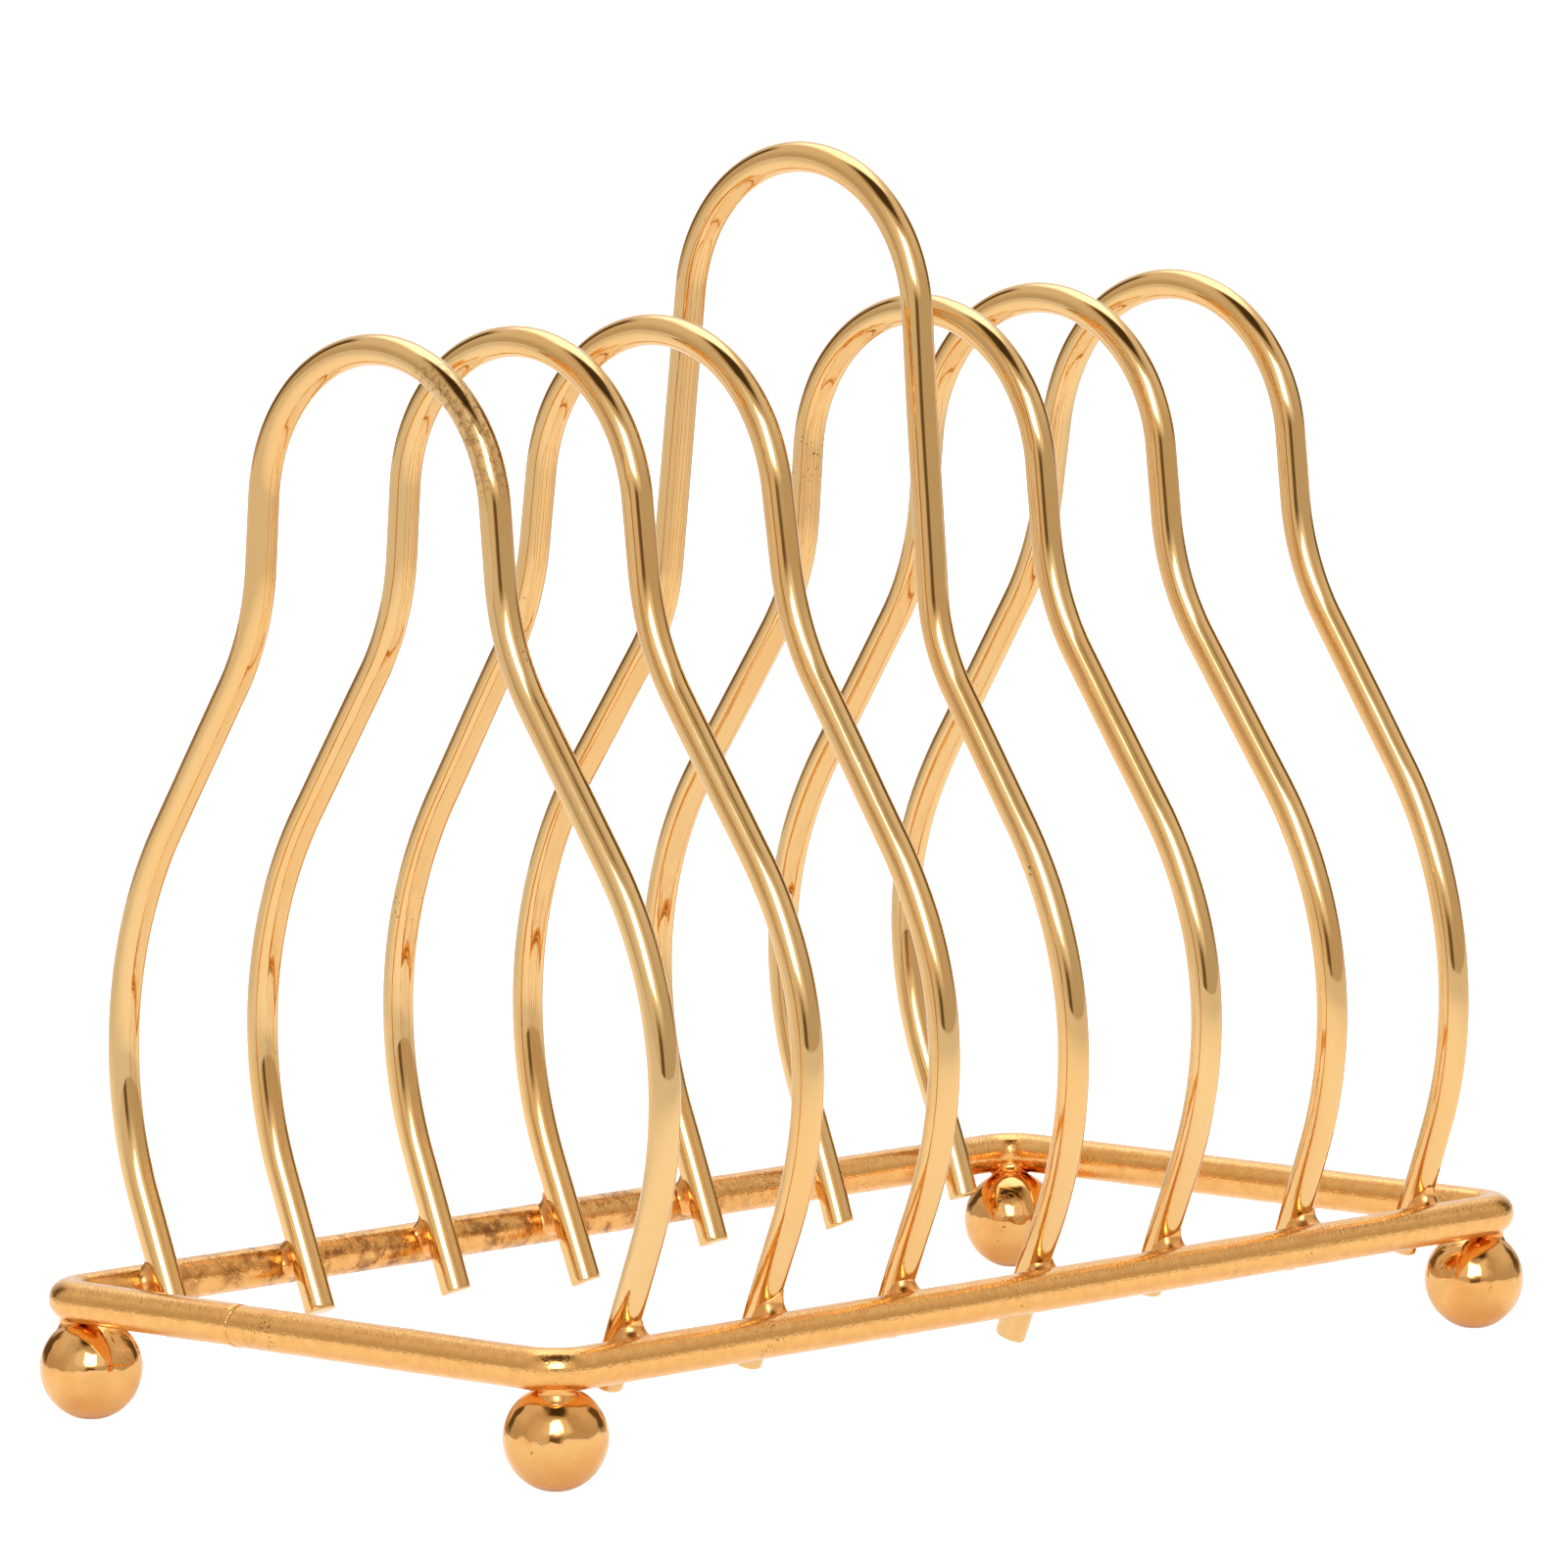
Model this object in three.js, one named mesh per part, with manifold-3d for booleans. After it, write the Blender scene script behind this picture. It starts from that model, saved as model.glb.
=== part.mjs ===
// Wire toast rack for six slices. Seven bent wires stand across a base ring of thicker wire; the
// middle one is taller and is the handle. Four ball feet carry the ring. Everything is brazed up,
// so nothing moves. Millimetres, +Z up, +X along the row of slices, origin on the table under
// the middle of the rack.

import * as THREE from 'three';
import { mergeVertices } from 'three/addons/utils/BufferGeometryUtils.js';
import Module from 'manifold-3d';

const wasm = await Module();
wasm.setup();

// ---------------------------------------------------------------- driving dimensions

const JOINT_GAP = 0.3; // between two pieces that touch on the real rack

const ARCH_WIRE_RADIUS = 2.0;
const ARCH_PITCH = 24.25;
const ARCHES_EACH_SIDE = 3;

const RING_WIRE_RADIUS = 2.6;
const RING_HALF_LENGTH = 87.8;
const RING_HALF_WIDTH = 44.5;
const RING_CORNER_RADIUS = 4.5;
const RING_HEIGHT = 15.25;
const RING_SEAM_Y = 10.7; // where the two ends of the ring wire meet, on the left short side
const SEAM_BEAD_LENGTH = 0.6;
const SEAM_BEAD_RADIUS = 2.7;

const FOOT_X = 84.8; // balls stand a little inside the ring's corners
const FOOT_Y = 41.2;
const BALL_RADIUS = 6.5;
const BALL_CENTRE_HEIGHT = 6.42; // a little less than the radius: the ball stands on a small flat
const BALL_SEAT_HEIGHT = RING_HEIGHT - RING_WIRE_RADIUS - JOINT_GAP;

// One half of an arch, from its apex down: crown arc, neck, waist arc, flank, hip arc, leg.
// The neck and the toe-in are measured from upright. The handle was set by hand: it stands a
// little to the left of its even place and leans about the level where it meets the rails,
// towards +X and towards -Y.
const SLICE_ARCH = {
  apex: 135.4,
  crownRadius: 20.5,
  neckFlare: 4.7,
  neckLength: 8.7,
  waistRadius: 32,
  flankAngle: 34.3,
  hipRadius: 50,
  toeIn: 21.5,
  legEnd: 11,
  shift: 0,
  leanAlong: 0,
  leanAcross: 0,
};
const HANDLE_ARCH = {
  apex: 156,
  crownRadius: 20,
  neckFlare: 5.3,
  neckLength: 35.4,
  waistRadius: 25,
  flankAngle: 34.7,
  hipRadius: 52,
  toeIn: 24.5,
  legEnd: 8.9,
  shift: -1.2,
  leanAlong: 0.8,
  leanAcross: 0.9,
};

const LEG_BRAZE = new THREE.Vector3(3.5, 2.2, 3.7); // half sizes of the filler at a leg
const FOOT_BRAZE = new THREE.Vector3(4.6, 4.6, 2.0); // half sizes of the filler on a foot
const FOOT_BRAZE_SHIFT = 0.8; // from the ball's middle out towards the ring's wire, each way

const ARCH_SIDES = 10;
const RING_SIDES = 12;
const BALL_SIDES = 16;
const BALL_RINGS = 8;
const BEND_STEP = 13; // degrees of bend for one step of a swept wire

// ---------------------------------------------------------------- materials

const polishedGold = new THREE.MeshStandardMaterial({
  name: 'polished_gold',
  color: 0xf2bd6b,
  roughness: 0.12,
  metalness: 1,
});
const satinGold = new THREE.MeshStandardMaterial({
  name: 'satin_gold',
  color: 0xe3aa5c,
  roughness: 0.3,
  metalness: 1,
});
const brazeGold = new THREE.MeshStandardMaterial({
  name: 'braze',
  color: 0xe59350,
  roughness: 0.25,
  metalness: 1,
});

// ---------------------------------------------------------------- bent wire

const radians = THREE.MathUtils.degToRad;

// Walks a flat path of straight runs and bends, and keeps a station at the end of each step.
class BendPlan {
  constructor(u, v, heading) {
    this.stations = [{ u, v, heading }];
  }

  get last() {
    return this.stations[this.stations.length - 1];
  }

  straight(length) {
    const { u, v, heading } = this.last;
    const end = { u: u + length * Math.cos(heading), v: v + length * Math.sin(heading), heading };
    this.stations.push(end);
    return this;
  }

  // angle in degrees, positive to the left
  bend(radius, angle) {
    const steps = Math.ceil(Math.abs(angle) / BEND_STEP);
    const side = Math.sign(angle);
    const start = this.last;
    for (let i = 1; i <= steps; i += 1) {
      const heading = start.heading + (radians(angle) * i) / steps;
      this.stations.push({
        u: start.u + side * radius * (Math.sin(heading) - Math.sin(start.heading)),
        v: start.v - side * radius * (Math.cos(heading) - Math.cos(start.heading)),
        heading,
      });
    }
    return this;
  }
}

// Centre line of a bent wire. It is stepped at the bends only, so a straight run is one step.
class WireCentreLine extends THREE.Curve {
  constructor(points, tangents) {
    super();
    this.points = points;
    this.tangents = tangents;
  }

  get steps() {
    return this.points.length - 1;
  }

  getPointAt(fraction, target = new THREE.Vector3()) {
    return target.copy(this.points[Math.round(fraction * this.steps)]);
  }

  getTangentAt(fraction, target = new THREE.Vector3()) {
    return target.copy(this.tangents[Math.round(fraction * this.steps)]);
  }

  getPoint(fraction, target) {
    return this.getPointAt(fraction, target);
  }
}

function roundBar(centreLine, radius, sides) {
  const section = new THREE.Shape();
  for (let i = 0; i < sides; i += 1) {
    const angle = (2 * Math.PI * i) / sides;
    const corner = [radius * Math.cos(angle), radius * Math.sin(angle)];
    if (i === 0) section.moveTo(...corner);
    else section.lineTo(...corner);
  }
  section.closePath();
  return new THREE.ExtrudeGeometry(section, {
    steps: centreLine.steps,
    extrudePath: centreLine,
  });
}

// ---------------------------------------------------------------- arches

// Half of an arch in its own plane: u is out from the middle, v is up. The flank is as long as
// it must be to bring the leg against the inside of the rail.
function halfArch(form) {
  const { neckFlare, flankAngle, toeIn } = form;
  const reach = (ARCH_WIRE_RADIUS + RING_WIRE_RADIUS + JOINT_GAP) / Math.cos(radians(toeIn));
  const legAtRail = RING_HALF_WIDTH - reach;
  const lean = Math.tan(radians(toeIn));
  const plan = (flank) =>
    new BendPlan(0, form.apex, 0)
      .bend(form.crownRadius, neckFlare - 90)
      .straight(form.neckLength)
      .bend(form.waistRadius, flankAngle - neckFlare)
      .straight(flank)
      .bend(form.hipRadius, -flankAngle - toeIn);
  const missBy = (flank) => {
    const { u, v } = plan(flank).last;
    return u - (v - RING_HEIGHT) * lean - legAtRail;
  };
  const slope = missBy(1) - missBy(0);
  const half = plan(-missBy(0) / slope);
  half.straight((half.last.v - form.legEnd) / Math.cos(radians(toeIn)));
  return half.stations;
}

// Both halves as one wire, from the front leg (-Y) over the apex to the back leg (+Y).
function archCentreLine(form) {
  const half = halfArch(form);
  const back = half.map(({ u, v, heading }) => ({
    point: new THREE.Vector3(0, u, v),
    tangent: new THREE.Vector3(0, Math.cos(heading), Math.sin(heading)),
  }));
  const front = back.slice(1).map(({ point, tangent }) => ({
    point: new THREE.Vector3(0, -point.y, point.z),
    tangent: new THREE.Vector3(0, tangent.y, -tangent.z),
  }));
  const all = [...front.reverse(), ...back];
  return new WireCentreLine(
    all.map((station) => station.point),
    all.map((station) => station.tangent),
  );
}

function archMesh(name, form) {
  const mesh = new THREE.Mesh(roundBar(archCentreLine(form), ARCH_WIRE_RADIUS, ARCH_SIDES));
  mesh.name = name;
  mesh.material = polishedGold.clone();
  return mesh;
}

function leanOf(form) {
  return new THREE.Euler(radians(form.leanAcross), radians(form.leanAlong), 0);
}

// ---------------------------------------------------------------- base ring

const STRAIGHT_SIDE = RING_HALF_WIDTH - RING_CORNER_RADIUS;
const STRAIGHT_LENGTH = 2 * (RING_HALF_LENGTH - RING_CORNER_RADIUS);

// The ring wire from one side of its seam round to the other, without the bead between them.
function ringCentreLine() {
  const halfSeam = SEAM_BEAD_LENGTH / 2 + JOINT_GAP;
  const quarter = 90;
  const plan = new BendPlan(-RING_HALF_LENGTH, RING_SEAM_Y - halfSeam, radians(-quarter))
    .straight(RING_SEAM_Y - halfSeam + STRAIGHT_SIDE)
    .bend(RING_CORNER_RADIUS, quarter)
    .straight(STRAIGHT_LENGTH)
    .bend(RING_CORNER_RADIUS, quarter)
    .straight(2 * STRAIGHT_SIDE)
    .bend(RING_CORNER_RADIUS, quarter)
    .straight(STRAIGHT_LENGTH)
    .bend(RING_CORNER_RADIUS, quarter)
    .straight(STRAIGHT_SIDE - RING_SEAM_Y - halfSeam);
  return new WireCentreLine(
    plan.stations.map(({ u, v }) => new THREE.Vector3(u, v, RING_HEIGHT)),
    plan.stations.map(({ heading }) => new THREE.Vector3(Math.cos(heading), Math.sin(heading), 0)),
  );
}

function ringMesh() {
  const mesh = new THREE.Mesh(roundBar(ringCentreLine(), RING_WIRE_RADIUS, RING_SIDES));
  mesh.name = 'base_ring';
  mesh.material = satinGold.clone();
  return mesh;
}

function seamBeadMesh() {
  const bead = new THREE.CylinderGeometry(
    SEAM_BEAD_RADIUS,
    SEAM_BEAD_RADIUS,
    SEAM_BEAD_LENGTH,
    RING_SIDES,
  );
  const mesh = new THREE.Mesh(bead, brazeGold.clone());
  mesh.name = 'ring_butt_weld';
  mesh.position.set(-RING_HALF_LENGTH, RING_SEAM_Y, RING_HEIGHT);
  return mesh;
}

// ---------------------------------------------------------------- ball feet

// A ball with a small flat below, to stand on, and one above, under the ring.
function ballGeometry(radius, seatHeight) {
  const low = Math.asin(-BALL_CENTRE_HEIGHT / Math.max(radius, BALL_CENTRE_HEIGHT));
  const high = Math.asin((seatHeight - BALL_CENTRE_HEIGHT) / radius);
  const profile = [];
  for (let i = 0; i <= BALL_RINGS; i += 1) {
    const angle = low + ((high - low) * i) / BALL_RINGS;
    const out = radius * Math.cos(angle);
    profile.push(new THREE.Vector2(out, BALL_CENTRE_HEIGHT + radius * Math.sin(angle)));
  }
  profile.unshift(new THREE.Vector2(0, profile[0].y));
  profile.push(new THREE.Vector2(0, profile[profile.length - 1].y));
  return new THREE.LatheGeometry(profile, BALL_SIDES).rotateX(Math.PI / 2);
}

function footMesh(name, x, y) {
  const mesh = new THREE.Mesh(ballGeometry(BALL_RADIUS, BALL_SEAT_HEIGHT), polishedGold.clone());
  mesh.name = name;
  mesh.position.set(x, y, 0);
  return mesh;
}

// ---------------------------------------------------------------- brazing

function toManifold(geometry) {
  const bare = geometry.clone();
  bare.deleteAttribute('normal');
  bare.deleteAttribute('uv');
  const merged = mergeVertices(bare, 1e-4);
  const triVerts = merged.index
    ? new Uint32Array(merged.index.array)
    : Uint32Array.from({ length: merged.attributes.position.count }, (_, i) => i);
  const vertProperties = new Float32Array(merged.attributes.position.array);
  return new wasm.Manifold(new wasm.Mesh({ numProp: 3, vertProperties, triVerts }));
}

function toGeometry(manifold) {
  const { vertProperties, triVerts } = manifold.getMesh();
  const geometry = new THREE.BufferGeometry();
  geometry.setAttribute('position', new THREE.BufferAttribute(new Float32Array(vertProperties), 3));
  geometry.setIndex(new THREE.BufferAttribute(new Uint32Array(triVerts), 1));
  const flat = geometry.toNonIndexed();
  flat.computeVertexNormals();
  return flat;
}

function brazeMesh(name, filler, ...neighbours) {
  const solid = neighbours.reduce(
    (rest, neighbour) => rest.subtract(toManifold(neighbour)),
    toManifold(filler),
  );
  const mesh = new THREE.Mesh(toGeometry(solid), brazeGold.clone());
  mesh.name = name;
  return mesh;
}

function fillerBlob(half) {
  return new THREE.SphereGeometry(1, 12, 8).rotateX(Math.PI / 2).scale(half.x, half.y, half.z);
}

// Filler between a leg and the inside of a rail: a rounded blob with both wires cut out of it.
// side is +1 at the back rail and -1 at the front rail.
function legBrazeMesh(name, form, side) {
  const toeIn = radians(form.toeIn);
  const railToLeg = ARCH_WIRE_RADIUS + RING_WIRE_RADIUS + JOINT_GAP;
  const legY = side * (RING_HALF_WIDTH - railToLeg / Math.cos(toeIn));
  const contactY = side * (RING_HALF_WIDTH - RING_WIRE_RADIUS - JOINT_GAP / 2);
  const cutLength = 6 * RING_WIRE_RADIUS;
  const filler = fillerBlob(LEG_BRAZE).translate(0, contactY, RING_HEIGHT);
  const legCut = new THREE.CylinderGeometry(
    ARCH_WIRE_RADIUS + JOINT_GAP,
    ARCH_WIRE_RADIUS + JOINT_GAP,
    cutLength,
    RING_SIDES,
  )
    .rotateX(Math.PI / 2 - side * toeIn)
    .translate(0, legY, 0)
    .applyMatrix4(new THREE.Matrix4().makeRotationFromEuler(leanOf(form)))
    .translate(0, 0, RING_HEIGHT);
  const railCut = new THREE.CylinderGeometry(
    RING_WIRE_RADIUS + JOINT_GAP,
    RING_WIRE_RADIUS + JOINT_GAP,
    cutLength,
    RING_SIDES,
  )
    .rotateZ(Math.PI / 2)
    .translate(0, side * RING_HALF_WIDTH, RING_HEIGHT);
  return brazeMesh(name, filler, legCut, railCut);
}

// Filler between a ball and the corner of the ring above it.
function footBrazeMesh(name, x, y) {
  const outX = x + Math.sign(x) * FOOT_BRAZE_SHIFT;
  const outY = y + Math.sign(y) * FOOT_BRAZE_SHIFT;
  const filler = fillerBlob(FOOT_BRAZE).translate(outX, outY, BALL_SEAT_HEIGHT + JOINT_GAP);
  const ballCut = ballGeometry(BALL_RADIUS + JOINT_GAP, BALL_SEAT_HEIGHT + JOINT_GAP);
  const ringCut = roundBar(ringCentreLine(), RING_WIRE_RADIUS + JOINT_GAP, RING_SIDES);
  return brazeMesh(name, filler, ballCut.translate(x, y, 0), ringCut);
}

// ---------------------------------------------------------------- assembly

const rack = new THREE.Group();
rack.name = 'toast_rack';

const base = new THREE.Group();
base.add(ringMesh(), seamBeadMesh());
for (const [end, signX] of [['left', -1], ['right', 1]]) {
  for (const [side, signY] of [['front', -1], ['back', 1]]) {
    const x = signX * FOOT_X;
    const y = signY * FOOT_Y;
    base.add(footMesh(`ball_foot_${side}_${end}`, x, y));
    base.add(footBrazeMesh(`foot_braze_${side}_${end}`, x, y));
  }
}
rack.add(base);

// An arch with the filler at its two feet, standing at x on the rails.
function standingArch(name, form, x) {
  const arch = archMesh(name, form);
  arch.position.z = -RING_HEIGHT;
  const leaning = new THREE.Group();
  leaning.position.z = RING_HEIGHT;
  leaning.rotation.copy(leanOf(form));
  leaning.add(arch);
  const standing = new THREE.Group();
  standing.position.x = x + form.shift;
  standing.add(
    leaning,
    legBrazeMesh(`leg_braze_${name}_front`, form, -1),
    legBrazeMesh(`leg_braze_${name}_back`, form, 1),
  );
  return standing;
}

let number = 0;
for (let i = -ARCHES_EACH_SIDE; i <= ARCHES_EACH_SIDE; i += 1) {
  if (i === 0) {
    rack.add(standingArch('handle_arch', HANDLE_ARCH, 0));
  } else {
    number += 1;
    rack.add(standingArch(`slice_arch_${number}`, SLICE_ARCH, i * ARCH_PITCH));
  }
}

export default rack;
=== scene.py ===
"""Looks of a gold-plated wire toast rack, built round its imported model.

Seven bent wires stand across a base ring of thicker wire on four ball feet. Each piece is a
surface worked out with numpy, in metres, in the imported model's own frame.
"""

import math
from functools import partial
from typing import NamedTuple

import bpy
import numpy as np
from bpy.props import FloatProperty, FloatVectorProperty, IntProperty, PointerProperty
from mathutils import Matrix, Vector


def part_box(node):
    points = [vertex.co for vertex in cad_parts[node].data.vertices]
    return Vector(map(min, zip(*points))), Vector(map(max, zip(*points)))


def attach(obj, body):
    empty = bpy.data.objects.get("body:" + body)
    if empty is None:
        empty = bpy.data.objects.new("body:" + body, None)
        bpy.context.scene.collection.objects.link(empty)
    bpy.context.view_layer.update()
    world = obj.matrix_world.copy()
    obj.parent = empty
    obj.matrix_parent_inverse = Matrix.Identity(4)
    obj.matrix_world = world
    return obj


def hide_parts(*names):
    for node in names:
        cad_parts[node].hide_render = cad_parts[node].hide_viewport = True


bl_info = {
    "name": "Toast Rack",
    "version": (1, 0, 0),
    "blender": (4, 5, 0),
    "location": "3D View > Sidebar > Toast Rack",
    "description": "Wire toast rack with a ring base, six slice arches and a handle arch",
    "category": "Add Mesh",
}

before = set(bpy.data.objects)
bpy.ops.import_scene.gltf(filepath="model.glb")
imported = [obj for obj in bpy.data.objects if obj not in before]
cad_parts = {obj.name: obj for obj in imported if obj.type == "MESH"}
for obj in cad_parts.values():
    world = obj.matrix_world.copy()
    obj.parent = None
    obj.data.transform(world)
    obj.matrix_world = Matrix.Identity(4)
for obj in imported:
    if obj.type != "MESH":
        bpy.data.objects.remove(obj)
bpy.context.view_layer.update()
RING_LOW, RING_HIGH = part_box("base_ring")
BALL_LOW, BALL_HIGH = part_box("ball_foot_front_right")

MM = 0.001

RING_WIRE = (RING_HIGH.z - RING_LOW.z) / 2
RING_SAG = 0.1 * MM
RING_LEVEL = (RING_HIGH.z + RING_LOW.z) / 2 - RING_SAG
RING_HALF_LENGTH = RING_HIGH.x - RING_WIRE
RING_HALF_WIDTH = RING_HIGH.y - RING_WIRE
BALL_LEVEL = 6.42 * MM
BALL_CENTRE = ((BALL_LOW.x + BALL_HIGH.x) / 2, (BALL_HIGH.y + BALL_LOW.y) / 2, BALL_LEVEL)

# One half of each arch from its apex down: crown bend, neck, waist bend, flank, hip bend, leg.
SLICE_FORM = {
    "apex": 135.4 * MM,
    "crown": 20.5 * MM,
    "neck_flare": 4.7,
    "neck": 8.7 * MM,
    "waist": 32 * MM,
    "flank_angle": 34.3,
    "hip": 50 * MM,
    "toe_in": 21.5,
}
HANDLE_FORM = {
    "apex": 156 * MM,
    "crown": 20 * MM,
    "neck_flare": 5.3,
    "neck": 35.4 * MM,
    "waist": 25 * MM,
    "flank_angle": 34.7,
    "hip": 52 * MM,
    "toe_in": 24.5,
}


class Setting(NamedTuple):
    """How one arch was set by hand, in millimetres and degrees."""

    order: int  # its place, counted from the middle
    shift: float  # along the rails, from its even place
    lean_along: float  # towards +X
    lean_across: float  # towards -Y
    drop: float  # of its apex
    front_spread: float  # of its front side, halfway up
    back_spread: float
    front_waist: float  # the same where it narrows
    back_waist: float
    front_kick: float  # of its front leg's end, along the rails
    back_kick: float
    front_end: float  # height at which the front leg was sheared off
    back_end: float


ARCH_SETTING = {
    "slice_arch_1": Setting(-3, 0.28, 0.93, -1.16, 0.14, 0.3, -0.44, 0, 0, 0, 0, 10.4, 10.6),
    "slice_arch_2": Setting(-2, 0.20, 0.62, -0.67, 0.47, 1.2, -0.18, 0.5, 0, 0, 0, 10.6, 10.2),
    "slice_arch_3": Setting(-1, 0.0, 0.39, -0.2, 0.36, 1.3, -0.2, 1.3, 1.1, 0, 0, 12.0, 9.7),
    "handle_arch": Setting(0, -1.69, 0.90, 1.07, 0.22, 0.8, -0.36, 0.3, 0, 2.4, 0, 9.3, 7.7),
    "slice_arch_4": Setting(1, -0.15, 0.47, -0.16, 0.44, 1.2, 0.7, 0.5, 0, 0.4, -0.5, 11.6, 10.6),
    "slice_arch_5": Setting(2, 1.12, -0.25, -0.80, 0.39, 0.3, 1.4, 0, 0.9, 0.7, -2.2, 11.6, 10.7),
    "slice_arch_6": Setting(3, 1.61, 0.06, -0.89, 0, -0.80, 2.3, 0, 2.0, -0.4, -2.4, 10.8, 11.9),
}
SPREAD = (RING_LEVEL, 100 * MM)  # heights between which the sides are spread
WAIST = (66 * MM, 128 * MM)
KICK_LOW, KICK_TOP = 9 * MM, 72 * MM  # heights between which a leg's kick fades out
RING_STEP = 0.8 * MM  # between the ring's cross sections
RING_SIDES = 56
RING_CHAMFER = 0.16 * MM
ARCH_CHAMFER = 0.22 * MM
SHEAR_SKEW = 0.09  # greatest skew of a leg's cut end, in radians
SEAM_GAP = 0.03 * MM
SEAM_RAMP = 14 * MM  # length over which the wire's end drifts off its line
TABLE_GAP = 0.02 * MM
RING_SEED, ARCH_SEED, HANDLE_SEED = 7, 20, 31
BALL_SEED, LEG_FILLER_SEED, FOOT_FILLER_SEED = 40, 60, 80
RAIL_PIVOT = np.array([0, 0, RING_LEVEL])
LOOK_AT = (-0.00156, 0, 0.07585)  # the point that the camera looks at
HAIRLINE_DULLNESS = 0.015  # roughness that full hairlines add
PIT_DULLNESS = 0.35
PIT_DEPTH = 0.04 * MM
FLOOR_SEEN = 0.86  # light that the floor gives off where it is seen directly
SIDES = {"front": -1, "back": 1}
ENDS = {"left": -1, "right": 1}


def form_of(arch):
    form = HANDLE_FORM if arch == "handle_arch" else SLICE_FORM
    return dict(form, apex=form["apex"] - ARCH_SETTING[arch].drop * MM)


# ---------------------------------------------------------------- settings

Length = partial(FloatProperty, unit="LENGTH", subtype="DISTANCE")
Colour = partial(FloatVectorProperty, subtype="COLOR", size=3, min=0, max=1)
Share = partial(FloatProperty, subtype="FACTOR", min=0, max=1)


class RackSizes(bpy.types.PropertyGroup):
    """Sizes of the rack's wires, balls and joints."""

    arch_wire: Length(
        name="Arch Wire Radius", description="Radius of the wire of the arches", default=2 * MM,
        min=0.5 * MM,
    )
    ring_wire: Length(
        name="Ring Wire Radius", description="Radius of the wire of the base ring",
        default=RING_WIRE + 0.05 * MM, min=0.5 * MM,
    )
    ring_corner: Length(
        name="Ring Corner Radius",
        description="Bend radius of the ring's corners, at the middle of the wire",
        default=4.5 * MM, min=3 * MM,
    )
    pitch: Length(
        name="Arch Spacing", description="Distance from one arch to the next", default=24.25 * MM,
        min=10 * MM,
    )
    ball: Length(
        name="Ball Radius", description="Radius of a ball foot", default=6.5 * MM, min=1 * MM
    )
    seam_place: Length(
        name="Ring Seam",
        description="Where the ring's seam is on the left short side, from its middle",
        default=10.7 * MM,
    )
    seam_step: Length(
        name="Seam Step", description="How far the ring's two ends miss each other at the seam",
        default=0.09 * MM, min=0,
    )
    bite: Length(
        name="Leg Bite", description="How far a leg sinks into the rail it is brazed to",
        default=0.15 * MM, min=0,
    )
    wire_steps: IntProperty(
        name="Steps Along Wire", description="Steps along one arch from leg to leg", default=520,
        min=60,
    )
    wire_sides: IntProperty(
        name="Steps Round Wire", description="Steps round an arch's wire", default=40, min=12
    )


class RackFinish(bpy.types.PropertyGroup):
    """Colours and polish of the gold plating."""

    gold: Colour(
        name="Gold", description="Colour of the plating on the arches", default=(0.83, 0.53, 0.22)
    )
    deep_gold: Colour(
        name="Deep Gold", description="The redder colour that the plating drifts to in patches",
        default=(0.83, 0.48, 0.165),
    )
    filler_gold: Colour(
        name="Filler Gold", description="Colour of the plating over the brazing filler",
        default=(0.92, 0.42, 0.12),
    )
    ring_gold: Colour(
        name="Ring Gold", description="Colour of the plating on the drawn ring",
        default=(0.88, 0.48, 0.15),
    )
    ball_gold: Colour(
        name="Ball Gold", description="Colour of the plating on the ball feet",
        default=(0.84, 0.465, 0.16),
    )
    worn_gold: Colour(
        name="Worn Gold",
        description="The darker, redder colour in the patches of the ring and the balls",
        default=(0.8, 0.385, 0.11),
    )
    tarnish: Colour(
        name="Tarnish", description="Brown of the patches where the plating was thin",
        default=(0.28, 0.105, 0.028),
    )
    pit: Colour(
        name="Pit", description="Colour at the bottom of a pit or nick", default=(0.22, 0.095, 0.03)
    )
    polish: Share(
        name="Polish", description="Roughness of the polished arches and balls", default=0.035
    )
    satin: Share(
        name="Satin", description="Roughness of the drawn finish on the ring", default=0.09
    )


class RackStudio(bpy.types.PropertyGroup):
    """Camera, floor and light."""

    azimuth: FloatProperty(
        name="Camera Azimuth",
        description="Direction the camera looks from, round the rack, in degrees", default=-45.984,
    )
    elevation: FloatProperty(
        name="Camera Elevation", description="Height of the camera above the horizon, in degrees",
        default=6.272,
    )
    roll: FloatProperty(
        name="Camera Roll", description="Turn of the camera about its line of sight, in degrees",
        default=-0.478,
    )
    distance: Length(
        name="Camera Distance", description="Distance from the camera to the point it looks at",
        default=1.5407,
    )
    lens: FloatProperty(
        name="Lens", description="Focal length, in millimetres on a 36 mm frame", default=277.8,
        min=20,
    )
    wall: FloatProperty(
        name="Wall Light", description="Brightness of the studio's walls", default=0.57, min=0
    )
    softbox: FloatProperty(
        name="Softbox Light",
        description="Brightness of the softboxes above the camera and high behind the rack",
        default=6.5, min=0,
    )
    # strength of the floor's painted glow, brightest close to the rack
    floor_glow: FloatProperty(
        name="Floor Glow",
        description="Light that the lit floor gives off by itself, close to the rack", default=0.36,
        min=0,
    )


# ---------------------------------------------------------------- surfaces


def stacked(*parts):
    """Joins arrays or numbers along a new last axis, each spread to the shape of all."""
    return np.stack(np.broadcast_arrays(*parts), axis=-1)


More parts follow.
